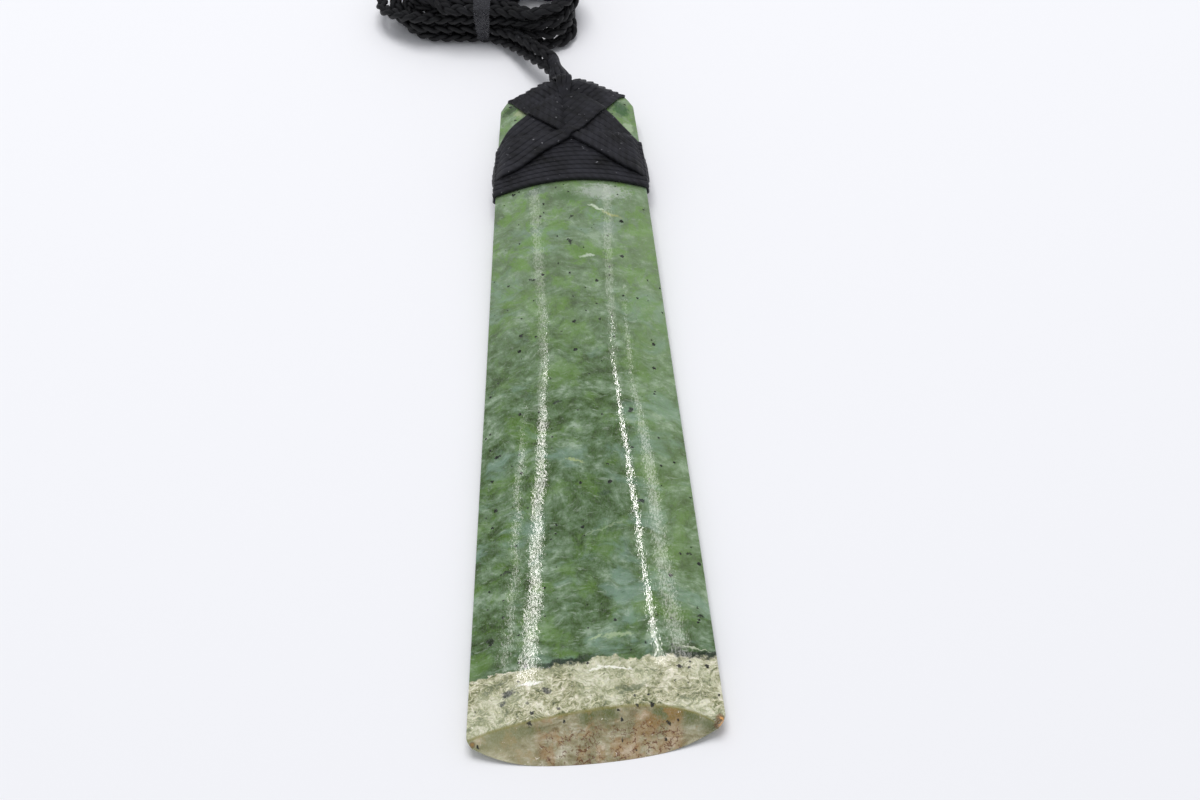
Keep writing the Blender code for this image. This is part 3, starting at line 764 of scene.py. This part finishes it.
# Single marks on this blade, long or round, pale or dark. Each is its place, half its length and
# width, its turn in degrees, its colour and how strong it is.
marks_place = stirred(mm, (1.6, 1.6, 0.0), Scale=0.9, Detail=4.0, Roughness=0.65)
for mark_x, mark_y, half_long, half_wide, degrees, mark_colour, strength in (
    (0.3, 8.9, 1.2, 0.22, 28, "#F3F2E4", 0.95),
    (3.2, 9.0, 2.2, 0.24, -6, "#F3F2E4", 0.95),
    (-9.0, 7.5, 1.7, 0.3, 2, "#F6F6EC", 0.95),
    (0.6, 14.3, 1.3, 0.24, 30, "#A9BD93", 0.75),
    (3.6, 14.6, 2.3, 0.34, 6, "#A3B68E", 0.75),
    (14.4, 12.7, 2.2, 0.16, -6, "#C6CDB4", 0.8),
    (-12.2, 6.2, 0.9, 0.55, 20, "#2B3034", 0.85),
    (-13.0, 4.7, 0.6, 0.35, 40, "#34393A", 0.8),
    (-6.6, 5.8, 0.75, 0.4, -35, "#262A2C", 0.85),
    (-9.5, 4.2, 0.3, 0.25, 0, "#262A2C", 0.7),
    (5.6, 5.6, 1.7, 0.5, 25, "#5C6A4C", 0.6),
    (-5.5, 101.4, 2.4, 0.9, 15, "#5F6C64", 0.55),
    (4.9, 100.6, 4.2, 1.7, 3, "#B0B9AE", 0.7),
    (3.9, 97.0, 1.5, 0.3, -28, "#C9D6BE", 0.85),
    (6.2, 95.8, 1.7, 0.26, -18, "#A3A76C", 0.7),
    (-0.4, 99.4, 3.2, 1.3, -8, "#51713F", 0.5),
    (-9.3, 0.9, 0.3, 0.24, 0, "#1B1B14", 0.9),
    (10.0, 0.7, 0.28, 0.24, 0, "#1B1B14", 0.9),
    (3.5, -1.1, 0.26, 0.2, 0, "#1B1B14", 0.9),
    (5.9, 2.6, 0.3, 0.22, 0, "#1B1B14", 0.9),
    (-5.3, 2.8, 0.34, 0.22, 0, "#1B1B14", 0.9),
    (-9.4, 121.6, 1.3, 0.8, 30, "#2F4424", 0.75),
    (-7.6, 119.9, 1.2, 0.8, -20, "#A9B38A", 0.7),
    (8.8, 120.4, 1.3, 1.6, 20, "#2C5430", 0.75),
    (9.9, 116.4, 0.8, 1.2, 10, "#A8BC98", 0.7),
    (5.6, 93.0, 2.2, 1.6, 10, "#8FA096", 0.4),
    (2.2, 86.6, 1.3, 0.35, 12, "#C4D0BE", 0.7),
    (-1.2, 46.0, 1.6, 0.14, -22, "#A9B87F", 0.7),
    (2.6, 33.4, 3.6, 0.16, 24, "#93A582", 0.55),
    (-0.3, 94.9, 0.55, 0.2, 40, "#20281C", 0.9),
    (-0.5, 89.5, 0.65, 0.28, 80, "#161C14", 0.95),
    (-6.5, 82.7, 0.55, 0.3, 5, "#161C14", 0.9),
    (7.3, 55.8, 0.45, 0.38, 60, "#161C14", 0.9),
    (-3.6, 57.4, 0.75, 0.26, 25, "#1F2A1E", 0.8),
    (8.2, 38.6, 0.46, 0.42, 0, "#1C2226", 0.9),
    (2.8, 39.7, 1.0, 0.5, 20, "#2B3F2E", 0.6),
    (-12.0, 27.2, 0.75, 0.26, 5, "#262E22", 0.8),
    (15.6, 18.6, 0.55, 0.26, 0, "#161C14", 0.9),
    (-14.4, 15.6, 0.6, 0.42, 30, "#1C2418", 0.9),
    (14.6, 29.6, 0.4, 0.3, 0, "#161C14", 0.9),
):
    mark_place = jade(
        "Mapping",
        marks_place,
        Location=(mark_x + 0.8, mark_y + 0.8, 4.6),
        Rotation=(0, 0, math.radians(degrees)),
        Scale=(half_long, half_wide, 4.0),
        vector_type="TEXTURE",
    )
    from_mark = jade("VectorMath", mark_place, output="Value", operation="LENGTH")
    from_mark = jade("Math", flake, 1.6, from_mark, operation="MULTIPLY_ADD")
    stone_colour = painted(stone_colour, mark_colour, strength, from_mark, 2.1, 1.4)

# Specks: single black grains, scattered by cell, and more of them toward the sides.
speck_place = stirred(mm, (0.8, 0.8, 0.0), Scale=2.6, Detail=3.0, Roughness=0.7)
from_middle = jade("Math", stone_x, operation="ABSOLUTE")
for cells_per_mm, largest, rarity in ((0.24, 0.34, 0.71), (0.5, 0.19, 0.79)):
    from_speck = jade("TexVoronoi", speck_place, Scale=cells_per_mm, voronoi_dimensions="2D")
    fate = jade("SeparateColor", from_speck.node.outputs["Color"])
    chance = jade("Math", from_middle, 0.01, fate, operation="MULTIPLY_ADD")
    size = jade("MapRange", chance, rarity, 1.05, 0.0, largest * cells_per_mm, **SMOOTH)
    from_grain = jade("Math", from_speck, size, operation="SUBTRACT")
    edge = (0.03 * cells_per_mm, -0.05 * cells_per_mm)
    stone_colour = painted(stone_colour, "#0A0D08", 0.95, from_grain, *edge)

# The two corners hold an orange and an ochre grain.
for corner_x, corner_y, corner_z, size_mm, corner_colour in (
    (17.1, 1.0, 2.1, 0.75, "#D7A15E"),
    (-17.3, -0.9, 2.2, 0.34, "#9C7A3C"),
):
    corner_place = jade(
        "Mapping",
        mm,
        Location=(corner_x, corner_y, corner_z),
        Scale=(size_mm, size_mm, size_mm),
        vector_type="TEXTURE",
    )
    reach = jade("VectorMath", corner_place, output="Value", operation="LENGTH")
    reach = jade("Math", stain, 1.8, reach, operation="MULTIPLY_ADD")
    stone_colour = painted(stone_colour, "#7A5230", 0.7, reach, 2.5, 2.0)
    stone_colour = painted(stone_colour, corner_colour, 1.0, reach, 1.9, 1.7)

# The polish leaves a fine lengthwise grain, which breaks the reflections up into glints. It is
# drawn about three times as coarse as it is, to show here. The rind and the bevel are duller.
grains = [
    jade(
        "TexNoise",
        jade("Mapping", mm, Scale=grains_per_mm),
        Scale=1.0,
        Detail=detail,
        Roughness=roughness,
    )
    for grains_per_mm, detail, roughness in (
        ((2.2, 1.2, 2.0), 2.0, 0.5),
        ((2.7, 1.5, 2.3), 1.0, 0.6),
        ((5.4, 1.9, 4.6), 1.0, 0.6),
    )
]
hairy = jade("MapRange", past_border, 0.16, -0.16, 0.0, 0.5, **SMOOTH)
height = jade("Math", hair, hairy, grains[0], operation="MULTIPLY_ADD")
gloss = jade("MapRange", grains[1], 0.46, 0.54, 0.03, 0.08, **SMOOTH)
for pattern, low, high, duller in ((past_border, -0.2, -4.6, 0.28), (crest, 0.02, -0.06, 0.16)):
    duller = jade("MapRange", pattern, low, high, 0.0, duller, **SMOOTH)
    gloss = jade("Math", gloss, duller, operation="ADD")
stone_shader = jade(
    "BsdfPrincipled",
    Base_Color=stone_colour,
    Roughness=gloss,
    IOR=1.62,
    Specular_IOR_Level=jade("MapRange", grains[2], 0.44, 0.56, 0.22, 0.76, **SMOOTH),
    Normal=jade("Bump", Height=height, Strength=1.0, Distance=0.0000075),
    Subsurface_Weight=0.12,
    Subsurface_Radius=(0.6, 1.0, 0.5),
    Subsurface_Scale=0.001,
)
jade("OutputMaterial", stone_shader)
stone.data.materials.append(nephrite)
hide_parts("stone_blade")
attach(stone, "root")

# Lashing turns
# The first layer: one waxed cord, wound ten times round the stone from the blade side toward the
# butt, each turn pressed flat against the last. Both ends are tucked away on the back.
CORD_WIDE, CORD_HIGH = 1.0, 0.8
TURNS, TURNS_START, TURN_PITCH = 10, LENGTH - 22.3, 0.985
to_row = Vector((0, TO_ROW, 0))
SECTION_COUNTS = (14, 4, 8)  # steps across half of the back, round the side, and underneath


def side_press(y):
    """The share of its thickness that cord loses on the side edges: more of it toward the butt."""
    return 0.5 + 0.35 * ease((y - TURNS_START - 4.7) / 5)


def ring_point(index, y, grow):
    """The index-th point round the stone's section at y, moved out by grow, and its way out."""
    back, rim, under = SECTION_COUNTS
    half = back + rim + under
    side = 1 if index <= half else -1
    column = index if side > 0 else 2 * half - index
    if column <= back:
        share, part = column / back, 0.0
    elif column < back + rim:
        share, part = 1.0, (column - back) / rim
    else:
        share, part = 1 - (column - back - rim) / under, 1.0
    x, z, lean = section_point(side, share, part, y)
    thinned = 1 - side_press(y) * math.sin(lean) ** 4
    out = Vector((side * math.sin(lean), 0, math.cos(lean))) * thinned
    return Vector((x, y + TO_ROW, z)) + out * grow, out


lashing_material = waxed_cord_material("waxed_cord_lashing", "#0A0A0C", "#2A2A30", 1.3, 0.3, 0.9)
around = 2 * sum(SECTION_COUNTS)
turns_line, turns_out = [], []
for step in range(TURNS * around + 1):
    index = (step + around // 2) % around
    y = TURNS_START + CORD_WIDE / 2 + TURN_PITCH * step / around
    place, out = ring_point(index, y, CORD_HIGH / 2)
    turns_line.append(place)
    turns_out.append(out)
winding = [(turns_line, turns_out, False)]
wound_turns = cord_skin(
    "wound_turns", winding, CORD_WIDE * 1.04, CORD_HIGH, 14, lashing_material, 0.5
)
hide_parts("lashing_turns")
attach(wound_turns, "root")

# Lashing cross
# The second layer: the same cord goes over the butt and round a side in slanting loops, left and
# right in turn from the butt down, so they cross in a herringbone. The last loop lies on top.
STRANDS = 8
LAYER = 0.74  # how far one band lies above the other where they cross
HEAP = 1.6  # how many layers the strands heap up to at the butt
BUTT_HALF = 9.8  # x of the butt's corners
BORDERS = {  # each band's lower and upper border on the back, from the stone's side to its butt
    1: (
        ((-11.75, 105.7), (-8.0, 106.2), (-3.5, 109.2), (0.8, 112.1), (5.4, 118.2), (9.6, 124.6)),
        ((-11.2, 113.7), (-8.7, 116.9), (-6.3, 118.6), (-3.0, 121.0), (-0.1, 123.3), (1.7, 124.6)),
    ),
    -1: (
        ((11.9, 105.0), (8.4, 106.0), (5.0, 108.3), (-0.9, 113.0), (-6.3, 118.8), (-9.9, 124.6)),
        ((11.2, 112.7), (8.6, 115.7), (6.4, 118.6), (3.0, 121.0), (0.2, 123.2), (-1.8, 124.6)),
    ),
}


def on_turns(y):
    """Height of the wound turns under a strand at y, with the slope where it comes off them."""
    return CORD_HIGH * (1 - ease((y - TURNS_START - TURNS) / 1.3))


def border_at(border, x):
    """Where a border crosses x, or far off past its ends."""
    points = sorted(border)
    for (left, left_y), (right_x, right_y) in zip(points, points[1:]):
        if left <= x <= right_x:
            return blend(left_y, right_y, (x - left) / (right_x - left))
    return points[0][1] if x < points[0][0] else points[-1][1]


def over_the_other(family, x, y):
    """1 where a strand lies on the other band's strands, 0 where it lies under them or apart."""
    low, high = BORDERS[-family]
    inside = ease((border_at(high, x) + 0.6 - y) / 1.4) * ease((y - border_at(low, x) + 0.9) / 1.2)
    own_half = ease((x * family + (0.9 if family > 0 else -0.3)) / 1.2)
    heaped = HEAP * ease((y - 119.5) / 4.5) * (1 - ease((abs(x) - 2.0) / 6))
    return max(own_half * inside, heaped)


def pressed(x, y):
    """Cord is pressed thinner toward the side edges."""
    return 1 - side_press(y) * ease((abs(x) - half_width(y) + 2.4) / 2.4)


def slanting_loop(family, share):
    """One strand's loop round the stone, as places and directions out of it."""
    low, high = BORDERS[family]
    plan = smooth_line(
        [(blend(b[0], a[0], share), blend(b[1], a[1], share), 0) for a, b in zip(low, high)], 0.6
    )
    places, outs = [], []
    for back_side in (False, True):
        for x, y, _ in reversed(plan) if back_side else plan:
            full = half_width(y)
            along_y = y + butt_arch(x, y)
            if abs(x) > full - 0.7 or along_y > LENGTH - 0.7:
                continue
            thin = pressed(x, y) * (1 - 0.35 * ease((along_y - LENGTH + 4) / 3))
            grow = (on_turns(y) + CORD_HIGH / 2) * thin + LAYER * over_the_other(family, x, y)
            if back_side:
                out = Vector((0, 0, -1))
                z = underside(x / full, y)
            else:
                rise = crown(along_y) - side_top(y)
                out = Vector((2 * rise * x / full**2, 0, 1)).normalized()
                z = crown(along_y) - rise * (x / full) ** 2
            places.append(Vector((x, y, z)) + out * grow)
            outs.append(out * thin)
        if back_side:
            x, y, _ = plan[0]
            side = -family
            edge = side * (half_width(y) + (on_turns(y) + CORD_HIGH / 2) * (1 - side_press(y)))
            places.append(Vector((edge, y, underside(1, y) + 0.5)))
            outs.append(Vector((side * 0.5, 0, 0)))
        else:
            x = plan[-1].x
            y = LENGTH + 1.1 - 1.9 * (x / BUTT_HALF) ** 2
            heaped = 1.2 * (1 - ease((abs(x) - 2.0) / 6))
            high_z = crown(LENGTH) - 1.6 * (x / BUTT_HALF) ** 2 + heaped
            for height, back_by in ((1.0, 0.25), (0.7, 0.0), (0.3, 0.0)):
                z = blend(underside(x / BUTT_WIDTH * 2, LENGTH), high_z, height)
                places.append(Vector((x, y - back_by, z)))
                outs.append(Vector((0.025 * x, 0.6, 0.4 * back_by)))
    seam = len(places) - 6  # on the back, near the side
    places, outs = places[seam:] + places[: seam + 1], outs[seam:] + outs[: seam + 1]
    line, directions = smooth_line(places, 0.5, outs)
    return [point + to_row for point in line[:-1]], directions[:-1], True


loops = []
for number in range(STRANDS):
    for family in (-1, 1):
        loops.append(slanting_loop(family, 1 - (number + 0.5) / STRANDS))
crossed_bands = cord_skin(
    "crossed_bands", loops, CORD_WIDE * 1.3, CORD_HIGH, 14, lashing_material, 0.5
)
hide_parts("lashing_cross")
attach(crossed_bands, "root")

# Neck whipping
# Where the neck cord leaves the butt, the lashing's last strands are gathered round its core, side
# by side, and narrow to the cord's own thickness.
GATHERED = 9
CLIMB = ((-4.6, 0.3, 0.6), (-3.2, 0.5, 1.2), (-1.8, 0.8, 1.8), (-0.3, 1.0, 2.05))  # y, spread, rise
NECK_LENGTH = 7.2
neck_base = Vector((-0.9, LENGTH + 1.9, 6.6))
neck_along = toward(-9, -13)
neck_side = neck_along.cross(Vector((0, 0, 1))).normalized()
neck_lift = neck_side.cross(neck_along)
gathered = []
for number in range(GATHERED):
    angle = 2 * math.pi * (number + 0.25) / GATHERED
    wide, high = math.cos(angle), math.sin(angle)
    places, outs = [], []
    if high > 0.2:  # the upper strands come out of the herringbone
        for y, spread, rise in CLIMB:
            z = crown(LENGTH - 1.6) + rise + 0.25 * high * spread
            places.append(Vector((-0.3 + 1.35 * wide * spread, LENGTH + y, z)))
            outs.append(Vector((0.1 * wide, 0, 1)))
    else:
        places.append(Vector((-0.6 + 1.2 * wide, LENGTH + 0.7, 5.4 + 0.7 * high)))
        outs.append(Vector((wide, 0, high)))
    for step in range(6):
        share = step / 5
        narrow = blend(1.42, 0.58, ease(share * 1.5))
        flat = blend(0.8, 0.56, ease(share * 1.5))
        turned = angle + 0.5 * share
        out = neck_side * math.cos(turned) + neck_lift * math.sin(turned)
        reach = neck_side * (math.cos(turned) * narrow) + neck_lift * (math.sin(turned) * flat)
        places.append(neck_base + neck_along * (NECK_LENGTH * share) + reach)
        outs.append(out)
    line, directions = smooth_line(places, 0.4, outs)
    gathered.append(([point + to_row for point in line], directions, False))
core = [neck_base + neck_along * distance + to_row for distance in (0.3, 2.5, 5.0, 7.0)]
gathered.append((core, [neck_lift] * 4, False))
neck_binding = cord_skin("neck_binding", gathered, 0.98, 0.8, 10, lashing_material, 0.75)
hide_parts("neck_whipping")
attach(neck_binding, "root")

# Table
# A pale, matt surface, faintly blue, that goes on past the picture's edges.
bpy.ops.mesh.primitive_plane_add(size=3, location=(0, 0, 0))
table = bpy.context.object
table.name = "table"
table_material = new_material("matt_pale_board")
table_shader = node(table_material, "BsdfPrincipled", "#F2F2F5", Roughness=0.9)
node(table_material, "OutputMaterial", table_shader)
table.data.materials.append(table_material)

# Light
# A white tent all round, a broad soft light overhead, and narrow strips behind the stone that draw
# the streaks down its polished back.
world = bpy.data.worlds.new("white_tent")
bpy.context.scene.world = world
world.use_nodes = True
tent = world.node_tree.nodes["Background"].inputs
tent["Color"].default_value = (0.94, 0.96, 1.0, 1.0)
tent["Strength"].default_value = 0.52


def strip_light(name, foot, head, wide, brightness):
    """A strip a metre from the stone and facing it, its foot and head as (azimuth, elevation)."""
    low, high = toward(*foot), toward(*head)
    middle = (low + high) / 2
    tall = (high - low).length
    data = bpy.data.lights.new(name, "AREA")
    data.shape = "RECTANGLE"
    data.size, data.size_y = wide, tall
    data.color = (1.0, 0.96, 0.94)
    data.energy = brightness * math.pi * wide * tall
    facing = middle.normalized()
    along = (high - low).normalized()
    side = along.cross(facing).normalized()
    turned = Matrix((side, facing.cross(side), facing)).transposed().to_4x4()
    new_object(name, data).matrix_world = Matrix.Translation(middle) @ turned


strip_light("left_strip_1", (-25.7, 45.6), (-27.2, 57.0), 0.011, 11.5)
strip_light("left_strip_2", (-27.3, 45.3), (-29.2, 57.0), 0.012, 12.5)
strip_light("left_strip_3", (-29.0, 45.6), (-31.0, 57.0), 0.01, 11.5)
strip_light("right_strip", (26.8, 45.1), (30.5, 57.0), 0.01, 25.0)
strip_light("far_right_strip", (35.4, 39.0), (34.6, 51.0), 0.04, 2.8)
strip_light("far_left_strip", (-35.6, 40.0), (-35.2, 51.0), 0.012, 4.2)
strip_light("left_glow", (-24.8, 39.0), (-27.0, 45.5), 0.075, 1.4)
strip_light("right_glow", (23.0, 39.0), (26.5, 45.1), 0.07, 1.3)
overhead = bpy.data.lights.new("overhead", "AREA")
overhead.size, overhead.energy = 0.62, 7.65
overhead_object = new_object("overhead", overhead)
above = Vector((-0.05, 0.34, 1.1))
facing_stone = above.to_track_quat("Z", "Y").to_matrix().to_4x4()
overhead_object.matrix_world = Matrix.Translation(above) @ facing_stone
overhead_object.visible_glossy = False
